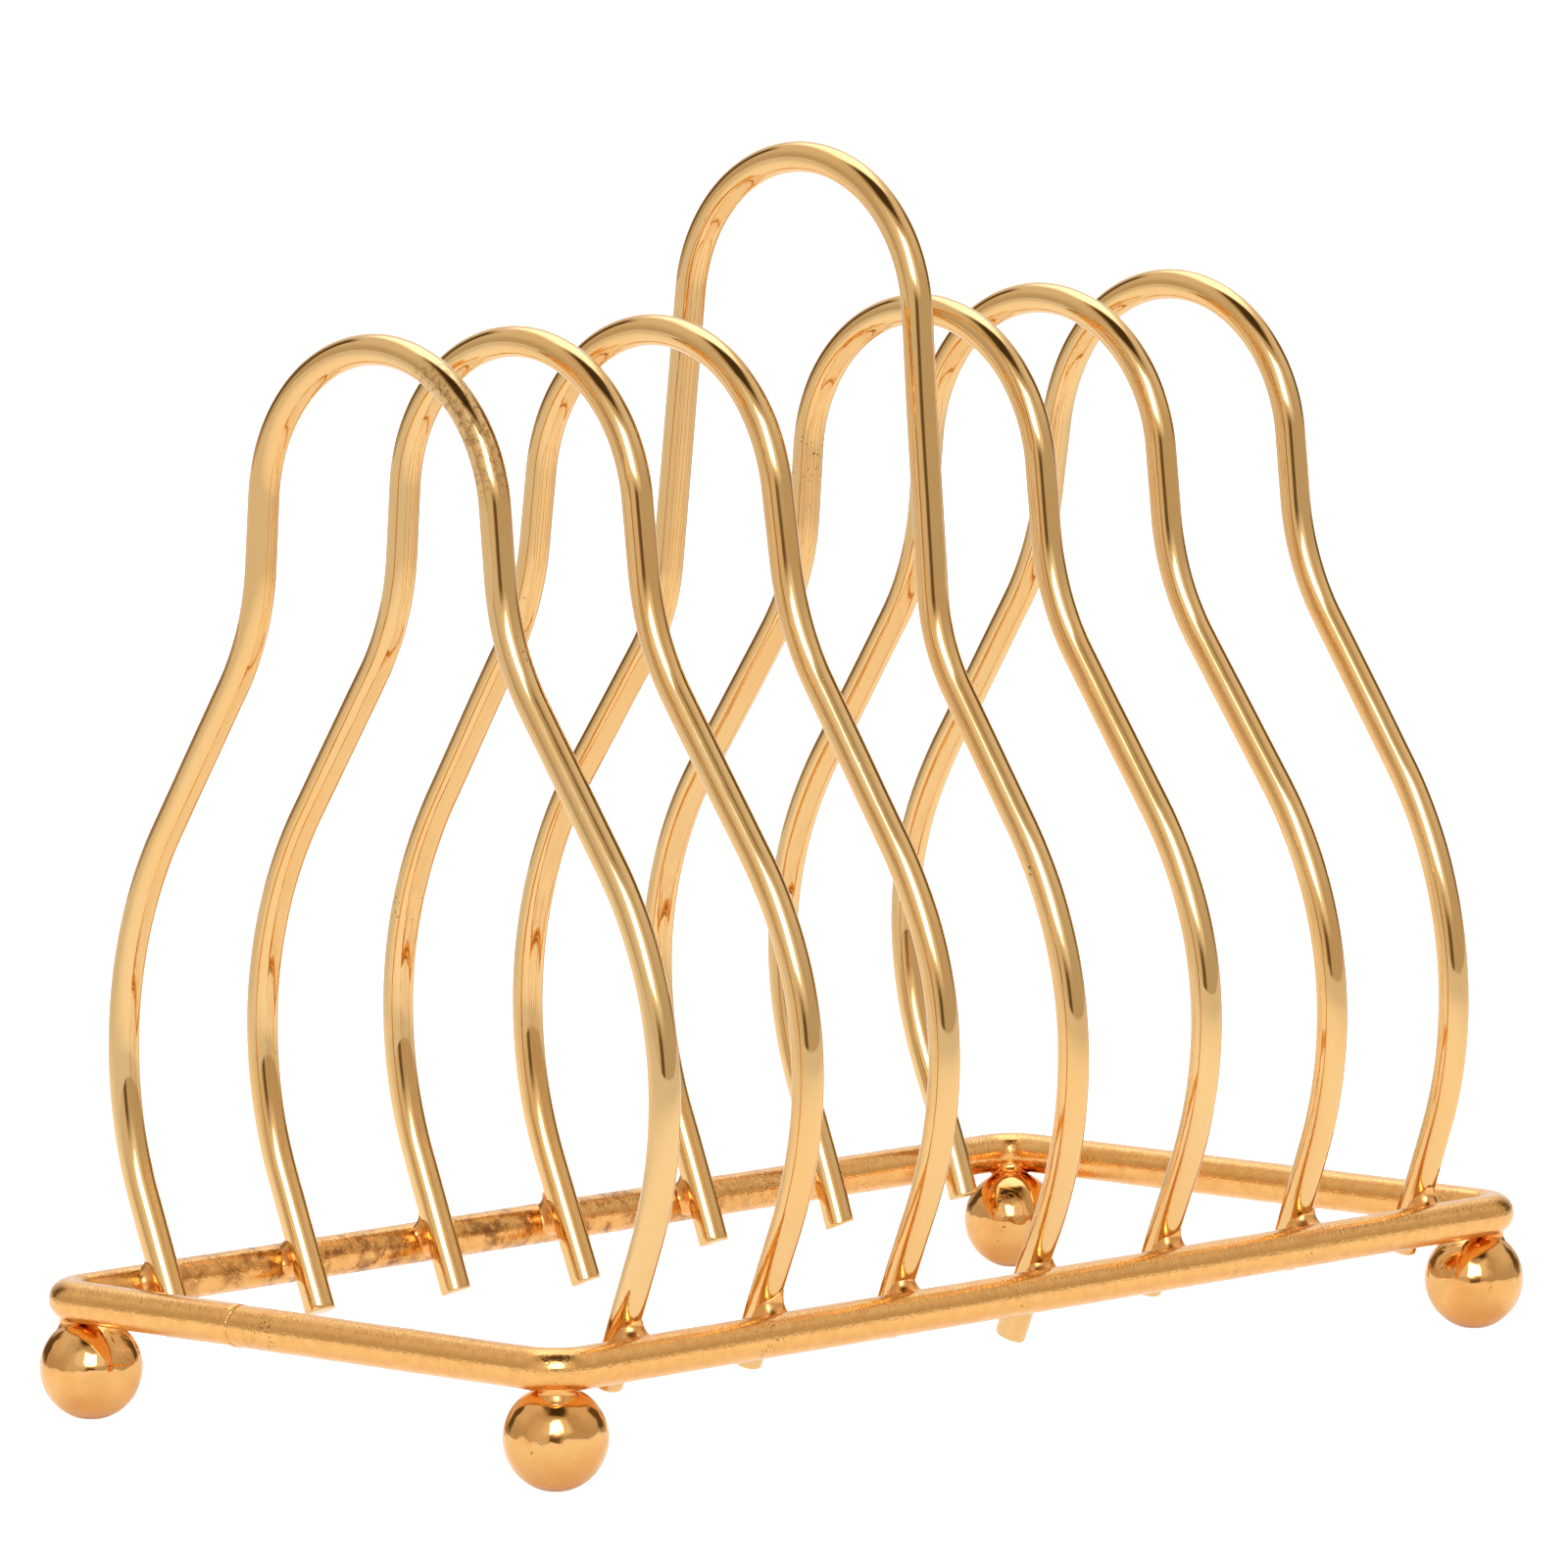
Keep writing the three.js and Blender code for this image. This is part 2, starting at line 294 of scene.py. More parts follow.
def grid_mesh(name, rows, first_tip=None, last_tip=None, closed_rows=False, attribute=None):
    """Mesh on an array of rows of points, each row a closed loop.

    Neighbouring points of neighbouring rows make the faces. A tip is one point that closes the
    first or last row with a fan; with closed_rows the last row joins the first again.
    """
    count, around = rows.shape[:2]
    points = rows.reshape(-1, 3)
    index = np.arange(count * around).reshape(count, around)
    if closed_rows:
        index = np.vstack([index, index[:1]])
    low, high = index[:-1], index[1:]
    quads = stacked(low, np.roll(low, -1, 1), np.roll(high, -1, 1), high).reshape(-1, 4)
    fans = [np.zeros((0, 3), int)]
    for tip, loop, sense in ((first_tip, index[0], -1), (last_tip, index[-1], 1)):
        if tip is not None:
            fans.append(stacked(len(points), *[loop, np.roll(loop, -1)][::sense]))
            points = np.vstack([points, tip])
    triangles = np.vstack(fans)

    mesh = bpy.data.meshes.new(name)
    mesh.vertices.add(len(points))
    mesh.vertices.foreach_set("co", np.ascontiguousarray(points, dtype=np.float32).ravel())
    corners = np.concatenate([quads.ravel(), triangles.ravel()])
    fan_starts = quads.size + np.arange(len(triangles)) * 3
    starts = np.concatenate([np.arange(len(quads)) * 4, fan_starts])
    mesh.loops.add(len(corners))
    mesh.loops.foreach_set("vertex_index", corners.astype(np.int32))
    mesh.polygons.add(len(starts))
    mesh.polygons.foreach_set("loop_start", starts.astype(np.int32))
    mesh.polygons.foreach_set("use_smooth", np.ones(len(starts), dtype=bool))
    mesh.update(calc_edges=True)
    if attribute is not None:
        layer = mesh.attributes.new("along_wire", "FLOAT_VECTOR", "POINT")
        layer.data.foreach_set("vector", attribute.astype(np.float32).ravel())
    mesh.validate()
    piece = bpy.data.objects.new(name, mesh)
    bpy.context.scene.collection.objects.link(piece)
    return piece


def finish_piece(piece, material, slot, *nodes):
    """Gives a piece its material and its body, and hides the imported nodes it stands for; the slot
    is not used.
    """
    piece.data.materials.append(material)
    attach(piece, "root")
    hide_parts(*nodes)


def bent_path(start, heading, moves, step):
    """Flat path of straight runs and bends as three arrays: places, headings, lengths run.

    A move is (length, 0) for a straight run or (radius, angle in degrees) for a bend, positive
    to the left. Along a bend the heading turns evenly and the place follows the circle whose
    centre is one radius to the side.
    """
    place = np.array(start, float)
    places, headings, runs = [place[None]], [np.array([heading])], [np.zeros(1)]
    run = 0.0
    for size, angle in moves:
        turn = math.radians(angle)
        length = abs(turn) * size if angle else size
        share = np.linspace(0, 1, max(2, int(math.ceil(length / step)) + 1))[1:]
        now = heading + turn * share
        if angle:
            radius = math.copysign(size, turn)
            offset = radius * stacked(
                np.sin(now) - math.sin(heading), math.cos(heading) - np.cos(now)
            )
        else:
            offset = np.outer(share * size, [math.cos(heading), math.sin(heading)])
        places.append(place + offset)
        headings.append(now)
        runs.append(run + share * length)
        place = place + offset[-1]
        heading = heading + turn
        run += length
    return np.concatenate(places), np.concatenate(headings), np.concatenate(runs)


def soft_wave(run, seed, lengths, sizes):
    """Sum of sines along a wire, one for each wave length and size, with seeded phases."""
    phases = np.random.default_rng(seed).uniform(0, 2 * np.pi, len(lengths))
    return sum(
        size * np.sin(2 * np.pi * run / length + phase)
        for length, size, phase in zip(lengths, sizes, phases)
    )


def sheared_wire(name, path, radius, sides, seed, chamfer, ends=(0, 0)):
    """Round wire along a path (centre, tangent, side, run), as one closed surface.

    A point is the centre plus the radius times (cos of the angle times the side direction plus
    sin of the angle times the other normal). The radius carries a few microns of slow waves.
    At each end the radius drops over a small chamfer to a face that domes or dips slightly,
    and the face is skewed by the angle in ends, as a shear leaves it.
    """
    centre, tangent, side, run = path
    up = np.cross(tangent, side)
    angle = np.linspace(0, 2 * np.pi, sides, endpoint=False)
    cos, sin = np.cos(angle), np.sin(angle)
    ring = cos[None, :, None] * side[:, None] + sin[None, :, None] * up[:, None]
    wave = soft_wave(run, seed, [0.011, 0.023, 0.041], [4e-6, 6e-6, 8e-6])[:, None]
    drift = soft_wave(run, seed + 1, [0.07, 0.13], [1.2, 1.5])[:, None]
    oval = 5e-6 * np.cos(2 * angle[None] + drift)
    body = centre[:, None] + ring * (radius + wave + oval)[..., None]

    rows = [body]
    attribute = [stacked(run[:, None], radius * cos, radius * sin)]
    tips = []
    out_share = np.array([0.35, 0.75, 1.0, 1.04, 1.0])[:, None]
    radius_share = np.array([0.99, 0.955, 0.9, 0.72, 0.35])[:, None]
    for at, sign, skew in ((0, -1, ends[0]), (-1, 1, ends[1])):
        out = sign * tangent[at]
        rough = 0.12 * chamfer * np.sin(3 * angle + seed)
        lift = out_share * chamfer + rough * np.array([0.2, 0.6, 1, 0.8, 0.3])[:, None]
        lift = lift + math.tan(skew) * radius * radius_share * cos
        inset = radius * radius_share
        cap = centre[at] + ring[at][None] * inset[..., None]
        cap = cap + out * lift[..., None]
        flat = stacked(run[at] + sign * out_share * chamfer, inset * cos, inset * sin)
        tips.append(centre[at] + out * chamfer * 0.97)
        if sign < 0:
            rows.insert(0, cap[::-1])
            attribute.insert(0, flat[::-1])
        else:
            rows.append(cap)
            attribute.append(flat)
    along = np.concatenate(attribute).reshape(-1, 3)
    along = np.vstack([along, [run[0] - chamfer, 0, 0], [run[-1] + chamfer, 0, 0]])
    return grid_mesh(name, np.concatenate(rows), tips[0], tips[1], attribute=along)


def half_arch(form, end, sizes):
    """Half of an arch in its own plane, from the apex down to a leg end at the given height.

    Crown bend, straight neck, waist bend the other way, straight flank, hip bend, straight leg.
    The flank's length follows from the leg, which must touch the inside of the rail.
    """
    toe_in = math.radians(form["toe_in"])
    reach = (sizes.arch_wire + sizes.ring_wire - sizes.bite) / math.cos(toe_in)
    target = RING_HALF_WIDTH - reach

    def moves(flank):
        return [
            (form["crown"], form["neck_flare"] - 90),
            (form["neck"], 0),
            (form["waist"], form["flank_angle"] - form["neck_flare"]),
            (flank, 0),
            (form["hip"], -form["flank_angle"] - form["toe_in"]),
        ]

    def miss(flank):
        last = bent_path((0, form["apex"]), 0.0, moves(flank), 1.0)[0][-1]
        return last[0] - (last[1] - RING_LEVEL) * math.tan(toe_in) - target

    unit = 10 * MM
    flank = -miss(unit) * unit / (miss(2 * unit) - miss(unit)) + unit
    last = bent_path((0, form["apex"]), 0.0, moves(flank), 1.0)[0][-1]
    leg = (last[1] - end) / math.cos(toe_in)
    whole = moves(flank) + [(leg, 0)]
    return bent_path((0, form["apex"]), 0.0, whole, 300 * MM / sizes.wire_steps)


def leaned(points, setting):
    """Turns points about the middle of the rack at rail level by the arch's two leans."""
    turn = Matrix.Rotation(math.radians(setting.lean_along), 3, "Y")
    turn = Matrix.Rotation(math.radians(setting.lean_across), 3, "X") @ turn
    return (points - RAIL_PIVOT) @ np.array(turn).T + RAIL_PIVOT


def spread_wave(height, low, high):
    """Share of a spread at a height: the square of a sine, nothing at both ends and beyond."""
    share = np.clip((height - low) / (high - low), 0, 1)
    return np.sin(np.pi * share) ** 2


def leg_kick(height):
    """Share of a leg's kick at a height: all of it at the leg's end, fading as a square."""
    return np.clip(1 - (height - KICK_LOW) / (KICK_TOP - KICK_LOW), 0, 1) ** 2


def arch_place(arch, sizes):
    setting = ARCH_SETTING[arch]
    return setting.order * sizes.pitch + setting.shift * MM


def leg_place(arch, side, sizes):
    """Where a leg crosses its rail, along the rail."""
    setting = ARCH_SETTING[arch]
    kick = setting.front_kick if side == "front" else setting.back_kick
    return arch_place(arch, sizes) + kick * MM * float(leg_kick(RING_LEVEL))


def arch_piece(arch, sizes, seed):
    """One arch: the front half reversed, the apex, then the back half, as one wire."""
    form, setting = form_of(arch), ARCH_SETTING[arch]
    front, _, front_run = half_arch(form, setting.front_end * MM, sizes)
    back, _, back_run = half_arch(form, setting.back_end * MM, sizes)
    for half, spread, waist in (
        (front, setting.front_spread, setting.front_waist),
        (back, setting.back_spread, setting.back_waist),
    ):
        half[:, 0] += spread * MM * spread_wave(half[:, 1], *SPREAD)
        half[:, 0] += waist * MM * spread_wave(half[:, 1], *WAIST)
    across = np.concatenate([-front[:0:-1, 0], back[:, 0]])
    height = np.concatenate([front[:0:-1, 1], back[:, 1]])
    run = np.concatenate([-front_run[:0:-1], back_run])
    kick = np.where(across < 0, setting.front_kick, setting.back_kick) * MM * leg_kick(height)
    centre = leaned(stacked(kick, across, height), setting)
    tangent = np.gradient(centre, run, axis=0)
    tangent /= np.linalg.norm(tangent, axis=1, keepdims=True)
    side = leaned(RAIL_PIVOT + [1.0, 0, 0], setting) - RAIL_PIVOT
    side = np.broadcast_to(side, centre.shape)
    path = centre + [arch_place(arch, sizes), 0, 0], tangent, side, run
    skew = np.random.default_rng(seed).uniform(-SHEAR_SKEW, SHEAR_SKEW, 2)
    return sheared_wire(
        arch + "_wire", path, sizes.arch_wire, sizes.wire_sides, seed, ARCH_CHAMFER, skew
    )


def ring_path(sizes, step):
    """Centre line of the ring from its seam round to its seam, with the two ends a little apart.

    Near the seam the end of the wire drifts up and outwards on a smooth ramp, so that the two
    ends miss each other by the seam step.
    """
    corner = sizes.ring_corner
    short = 2 * (RING_HALF_WIDTH - corner)
    long = 2 * (RING_HALF_LENGTH - corner)
    seam = sizes.seam_place
    moves = [(seam - SEAM_GAP + short / 2, 0)]
    for length in (long, short, long):
        moves += [(corner, 90), (length, 0)]
    moves += [(corner, 90), (short / 2 - seam - SEAM_GAP, 0)]
    start = (-RING_HALF_LENGTH, seam - SEAM_GAP)
    place, heading, run = bent_path(start, -math.pi / 2, moves, step)
    centre = stacked(*place.T, RING_LEVEL)
    tangent = stacked(np.cos(heading), np.sin(heading), 0)
    outward = stacked(np.sin(heading), -np.cos(heading), 0)
    ramp = np.clip(1 - (run[-1] - run) / SEAM_RAMP, 0, 1)
    ramp = (ramp * ramp * (3 - 2 * ramp))[:, None] * sizes.seam_step
    centre = centre + ramp * (0.8 * np.array([0, 0, 1.0]) + 0.6 * outward)
    return centre, tangent, outward, run


def seam_bead_piece(sizes):
    """Bead left in the ring's seam: a thin ring round the wire whose width and height wander.

    A point is the wire's axis plus a radius times the direction round it, plus a small circle
    whose own radius follows a sum of sines round the wire.
    """
    angle = np.linspace(0, 2 * np.pi, 144, endpoint=False)
    small = np.linspace(0, 2 * np.pi, 14, endpoint=False)
    thick = 1 + 0.35 * np.sin(3 * angle + 0.7) + 0.3 * np.sin(8 * angle)
    thick = 0.15 * MM * (thick + 0.2 * np.sin(19 * angle + 2))
    drift = np.sin(2 * angle + 1) + 0.7 * np.sin(5 * angle) + 0.4 * np.sin(13 * angle + 1)
    drift = 0.12 * MM * drift
    reach = sizes.ring_wire - 0.03 * MM + 0.04 * MM * np.sin(4 * angle)
    out = reach[:, None] + thick[:, None] * np.cos(small) * 0.8
    along = drift[:, None] + thick[:, None] * np.sin(small)
    rows = stacked(
        -RING_HALF_LENGTH + out * np.cos(angle)[:, None],
        sizes.seam_place + along,
        RING_LEVEL + out * np.sin(angle)[:, None],
    )
    return grid_mesh("ring_seam_bead", rows, closed_rows=True)


def ball_piece(name, x, y, sizes, seed):
    """Ball foot: a sphere with a worn flat below and shallow hollows left by hand polishing.

    The two parameters are height angle and turn. The radius is the ball's times one plus slow
    waves in both, and the surface stops at the table.
    """
    height = np.linspace(-np.pi / 2, np.pi / 2, 74)[1:-1, None]
    turn = np.linspace(0, 2 * np.pi, 112, endpoint=False)[None]
    phase = np.random.default_rng(seed).uniform(0, 2 * np.pi, 4)
    wave = np.sin(3 * turn + phase[0]) * np.cos(height) ** 3 * 0.5
    wave = wave + np.sin(2 * turn + phase[1]) * np.cos(height) ** 2
    wave = wave + np.sin(4 * height + phase[2]) * 0.7
    wave = wave + np.sin(5 * turn + 6 * height + phase[3]) * np.cos(height) ** 5 * 0.3
    radius = sizes.ball * (1 + 0.0028 * wave)
    rows = stacked(
        x + radius * np.cos(height) * np.cos(turn),
        y + radius * np.cos(height) * np.sin(turn),
        BALL_LEVEL + radius * np.sin(height),
    )
    rows[..., 2] = np.maximum(rows[..., 2], TABLE_GAP)
    bottom = [x, y, TABLE_GAP]
    return grid_mesh(name, rows, bottom, [x, y, BALL_LEVEL + sizes.ball])


def feet(first_seed):
    """Name, place along and across, and seed of each foot in turn."""
    for order, (side, end) in enumerate((side, end) for side in SIDES for end in ENDS):
        x, y = ENDS[end] * BALL_CENTRE[0], SIDES[side] * abs(BALL_CENTRE[1])
        yield f"{side}_{end}", x, y, first_seed + order


def fillet_rows(leg, rail, inner, hollow):
    """Rows of a ring of filler round a contact, one row for each direction round it.

    Each row is a loop: along a hollow curve from a point on one wire to a point on the other
    (a parabola pulled towards the crevice between them), then back through the inside of both.
    """
    share = np.linspace(0, 1, 14)[None, :, None]
    curve = (1 - share) ** 2 * leg[:, None] + 2 * share * (1 - share) * hollow[:, None]
    curve = curve + share**2 * rail[:, None]
    return np.concatenate([curve, inner], axis=1)


def lumpy(turn, rng, *waves):
    """One plus a sine of the turn for each (waves round, size), its phase drawn from rng."""
    lump = 1
    for count, size in waves:
        lump = lump + size * np.sin(count * turn + rng.uniform(0, 6.3))
    return lump


def leg_filler_piece(name, arch, side, sizes, seed):
    """Brazing filler between a leg and the inside of a rail.

    In a frame at the contact (along the rail, down the leg, from leg to rail) the filler meets
    the leg on a curve that turns with the direction round the contact: the angle round the leg
    is its greatest angle times the cosine, and the way down the leg is the reach times the
    sine. It meets the rail the same way with sine and cosine swapped.
    """
    form = form_of(arch)
    sign = SIDES[side]
    toe_in = math.radians(form["toe_in"])
    leg_wire, rail_wire = sizes.arch_wire, sizes.ring_wire
    rng = np.random.default_rng(seed)
    turn = np.linspace(0, 2 * np.pi, 72, endpoint=False)
    lump = lumpy(turn, rng, (2, 0.1), (3, 0.07), (7, 0.04))
    along_rail = rng.uniform(2.3, 2.8) * MM * lump
    climb = np.where(np.sin(turn) > 0, rng.uniform(2.2, 2.6), rng.uniform(3.2, 4.2)) * MM * lump
    round_leg = math.radians(78) * np.cos(turn)
    round_rail = math.radians(60) * np.sin(turn)

    leg = stacked(
        leg_wire * np.sin(round_leg), climb * np.sin(turn), -leg_wire * (1 - np.cos(round_leg))
    )
    rail = stacked(
        along_rail * np.cos(turn),
        rail_wire * np.sin(round_rail),
        rail_wire * (1 - np.cos(round_rail)),
    )
    crevice = stacked(leg[:, 0], rail[:, 1], 0)
    mean = (leg + rail) / 2
    hollow = crevice + 0.25 * (mean - crevice)
    sunk = 0.35 * MM
    flat = stacked(np.cos(turn), np.sin(turn), 0)
    inner = np.stack(
        [
            rail * [0.93, 0.93, 1] + [0, 0, sunk],
            flat * 0.8 * MM + [0, 0, 0.2 * MM],
            flat * 0.8 * MM - [0, 0, 0.2 * MM],
            leg * [0.93, 0.93, 1] - [0, 0, sunk],
        ],
        axis=1,
    )
    rows = fillet_rows(leg, rail, inner, hollow)

    down = np.array([0, -sign * math.sin(toe_in), -math.cos(toe_in)])
    to_rail = np.array([0, sign * math.cos(toe_in), -math.sin(toe_in)])
    along = np.array([1.0, 0, 0])
    axis_gap = leg_wire + rail_wire - sizes.bite
    centre = np.array([0, sign * RING_HALF_WIDTH, RING_LEVEL])
    centre = centre - to_rail * (axis_gap - leg_wire + sizes.bite / 2)
    placed = rows[..., :1] * along + rows[..., 1:2] * down + rows[..., 2:] * to_rail + centre
    if np.linalg.det([along, down, to_rail]) > 0:
        placed = placed[:, ::-1]
    placed = placed + [leg_place(arch, side, sizes), 0, 0]
    return grid_mesh(name, placed, closed_rows=True)


def foot_filler_piece(name, x, y, sizes, seed):
    """Brazing filler between a ball and the ring's corner above it.

    The same ring of hollow curves as at a leg, round the line from the ball's middle to the
    bent wire's. Its lower edge is a wavy circle on the ball, and its upper edge goes round the
    underside of the wire: along the bend by the cosine of the direction, round it by the sine.
    """
    rng = np.random.default_rng(seed)
    turn = np.linspace(0, 2 * np.pi, 72, endpoint=False)
    lump = lumpy(turn, rng, (2, 0.07), (5, 0.05))[:, None]
    cos, sin = np.cos(turn)[:, None], np.sin(turn)[:, None]
    sign = np.array([math.copysign(1, x), math.copysign(1, y), 0])
    up = np.array([0, 0, 1.0])
    out = sign / math.sqrt(2)
    along = np.cross(out, up)
    ball_middle = np.array([x, y, BALL_CENTRE[2]])
    corner = sizes.ring_corner
    bend_middle = sign * [RING_HALF_LENGTH - corner, RING_HALF_WIDTH - corner, 0]
    bend_middle = bend_middle + [0, 0, RING_LEVEL]
    axis = bend_middle + out * corner - ball_middle
    axis /= np.linalg.norm(axis)
    tilt = math.atan2(axis @ out, axis[2])
    across = np.cross(axis, along)

    polar = np.arcsin(2.7 * MM * lump / sizes.ball)
    ball_out = np.sin(polar) * (cos * along + sin * across) + np.cos(polar) * axis
    ball = ball_middle + sizes.ball * ball_out
    arc = 2.9 * MM * lump * cos / corner
    radial = np.sin(arc) * along + np.cos(arc) * out
    bend = bend_middle + corner * radial
    lean = -tilt + math.radians(50) * sin * math.copysign(1, across @ out)
    wire_out = np.sin(lean) * radial - np.cos(lean) * up
    wire = bend + sizes.ring_wire * wire_out
    contact = ball_middle + sizes.ball * axis
    hollow = contact + 0.76 * ((ball + wire) / 2 - contact)
    flat = 0.7 * MM * (cos * along + sin * across)
    inner = np.stack(
        [
            wire - 0.4 * MM * wire_out,
            contact + flat + 0.3 * MM * axis,
            contact + flat - 0.2 * MM * axis,
            ball - 0.4 * MM * ball_out,
        ],
        axis=1,
    )
    rows = fillet_rows(ball, wire, inner, hollow)
    return grid_mesh(name, rows[:, ::-1], closed_rows=True)


# ---------------------------------------------------------------- finishes


def add_node(tree, kind, inputs=None, **settings):
    """Adds a node, sets its properties, and sets or links its inputs by name or number."""
    made = tree.nodes.new(kind)
    for key, value in settings.items():
        setattr(made, key, value)
    for key, value in (inputs or {}).items():
        if isinstance(value, bpy.types.NodeSocket):
            tree.links.new(value, made.inputs[key])
        else:
            made.inputs[key].default_value = value
    return made


def calc(tree, operation, *values, clamp=False):
    """Math node on up to three numbers or sockets."""
    inputs = dict(enumerate(values))
    return add_node(tree, "ShaderNodeMath", inputs, operation=operation, use_clamp=clamp).outputs[0]


def vector_calc(tree, operation, *values):
    """Vector Math node on vectors or sockets, and the output that its operation fills."""
    made = add_node(tree, "ShaderNodeVectorMath", dict(enumerate(values)), operation=operation)
    plain = operation in {"LENGTH", "DISTANCE", "DOT_PRODUCT"}
    return made.outputs["Value" if plain else "Vector"]


def noise(tree, vector, scale, detail, roughness):
    """Value of a noise texture."""
    inputs = {"Vector": vector, "Scale": scale, "Detail": detail, "Roughness": roughness}
    return add_node(tree, "ShaderNodeTexNoise", inputs).outputs["Fac"]


def smooth_step(tree, value, low, high, start=0.0, end=1.0):
    """Map Range node that eases from start to end while value goes from low to high."""
    inputs = {"Value": value, "From Min": low, "From Max": high, "To Min": start, "To Max": end}
    made = add_node(tree, "ShaderNodeMapRange", inputs, interpolation_type="SMOOTHSTEP")
    return made.outputs["Result"]


def mix_colour(tree, share, first, second):
    inputs = {"Factor": share, 6: first, 7: second}
    return add_node(tree, "ShaderNodeMix", inputs, data_type="RGBA").outputs[2]


NUMBER, RGB, VECTOR = "NodeSocketFloat", "NodeSocketColor", "NodeSocketVector"


def new_group(name, inputs, outputs):
    """Empty node group with sockets made from (name, kind, default) and (name, kind)."""
    group = bpy.data.node_groups.new(name, "ShaderNodeTree")
    for label, kind, default in inputs:
        socket = group.interface.new_socket(label, in_out="INPUT", socket_type=kind)
        if default is not None:
            socket.default_value = default
    for label, kind in outputs:
        group.interface.new_socket(label, in_out="OUTPUT", socket_type=kind)
    given = group.nodes.new("NodeGroupInput").outputs
    leave = group.nodes.new("NodeGroupOutput").inputs
    return group, given, leave


def plating_tone_group():
    """Plating that drifts between two golds in soft patches a few centimetres across."""
    group, given, leave = new_group(
        "Plating Tone",
        [
            ("Vector", VECTOR, None),
            ("Gold", RGB, (1, 1, 1, 1)),
            ("Deep Gold", RGB, (1, 1, 1, 1)),
            ("Scale", NUMBER, 40.0),
            ("Drift", NUMBER, 0.5),
        ],
        [("Color", RGB), ("Patch", NUMBER)],
    )
    patches = noise(group, given["Vector"], given["Scale"], 3.0, 0.55)
    patch = smooth_step(group, patches, 0.35, 0.68)
    share = calc(group, "MULTIPLY", patch, given["Drift"])
    tone = mix_colour(group, share, given["Gold"], given["Deep Gold"])
    group.links.new(tone, leave["Color"])
    group.links.new(patch, leave["Patch"])
    return group


def pits_group():
    """Small dark pits: cells near whose centres the plating is broken, kept to some patches."""
    group, given, leave = new_group(
        "Pits",
        [
            ("Vector", VECTOR, None),
            ("Scale", NUMBER, 900.0),
            ("Size", NUMBER, 0.25),
            ("Spread", NUMBER, 0.6),
            ("Patch Scale", NUMBER, 60.0),
        ],
        [("Mask", NUMBER), ("Height", NUMBER)],
    )
    place = given["Vector"]
    inputs = {"Vector": place, "Scale": 1500.0, "Detail": 2.0}
    shove = add_node(group, "ShaderNodeTexNoise", inputs).outputs["Color"]
    shoved = vector_calc(group, "MULTIPLY_ADD", shove, (0.9 * MM,) * 3, place)
    inputs = {"Vector": shoved, "Scale": given["Scale"], "Randomness": 1.0}
    cells = add_node(group, "ShaderNodeTexVoronoi", inputs)
    split = add_node(group, "ShaderNodeSeparateColor", {"Color": cells.outputs["Color"]})
    bare = split.outputs["Red"]
    size = calc(group, "MULTIPLY", bare, given["Size"])
    depth = calc(group, "SUBTRACT", size, cells.outputs["Distance"])
    hole = smooth_step(group, depth, 0.0, 0.08)
    patches = noise(group, given["Vector"], given["Patch Scale"], 4.0, 0.6)
    edge = calc(group, "ADD", given["Spread"], 0.12)
    region = smooth_step(group, patches, given["Spread"], edge)
    mask = calc(group, "MULTIPLY", hole, region)
    height = calc(group, "MULTIPLY", mask, -1.0)
    group.links.new(mask, leave["Mask"])
    group.links.new(height, leave["Height"])
    return group


def draw_lines_group():
    """Lines that the drawing die leaves along a wire: noise stretched along its length.

    The vector holds the length run along the wire and the place across it, so the noise is
    squeezed along the first and fine across the other two.
    """
    group, given, leave = new_group(
        "Draw Lines",
        [
            ("Vector", VECTOR, None),
            ("Along", NUMBER, 30.0),
            ("Across", NUMBER, 4000.0),
        ],
        [("Lines", NUMBER), ("Height", NUMBER)],
    )
    along, across = given["Along"], given["Across"]
    inputs = {"X": along, "Y": across, "Z": across}
    stretch = add_node(group, "ShaderNodeCombineXYZ", inputs).outputs["Vector"]
    squeezed = vector_calc(group, "MULTIPLY", given["Vector"], stretch)
    fine = noise(group, squeezed, 1.0, 4.0, 0.65)
    group.links.new(smooth_step(group, fine, 0.3, 0.7), leave["Lines"])
    group.links.new(fine, leave["Height"])
    return group


def buffing_group():
    """Hairlines and slow waves that hand buffing leaves on polished plating."""
    group, given, leave = new_group(
        "Buffing",
        [
            ("Vector", VECTOR, None),
            ("Wave Scale", NUMBER, 120.0),
            ("Hairline Scale", NUMBER, 900.0),
        ],
        [("Wave", NUMBER), ("Hairlines", NUMBER)],
    )
    wave = noise(group, given["Vector"], given["Wave Scale"], 2.0, 0.4)
    place = given["Vector"]
    inputs = {"Vector": place, "Rotation": (0.6, 0.9, 0.3), "Scale": (0.08, 1.0, 1.0)}
    turned = add_node(group, "ShaderNodeMapping", inputs).outputs["Vector"]
    hair = noise(group, turned, given["Hairline Scale"], 5.0, 0.7)
    group.links.new(wave, leave["Wave"])
    group.links.new(smooth_step(group, hair, 0.52, 0.72), leave["Hairlines"])
    return group


def use_group(tree, name, maker, inputs):
    """Places the node group of that name, which is built the first time it is asked for."""
    group = bpy.data.node_groups.get(name) or maker()
    return add_node(tree, "ShaderNodeGroup", inputs, node_tree=group).outputs


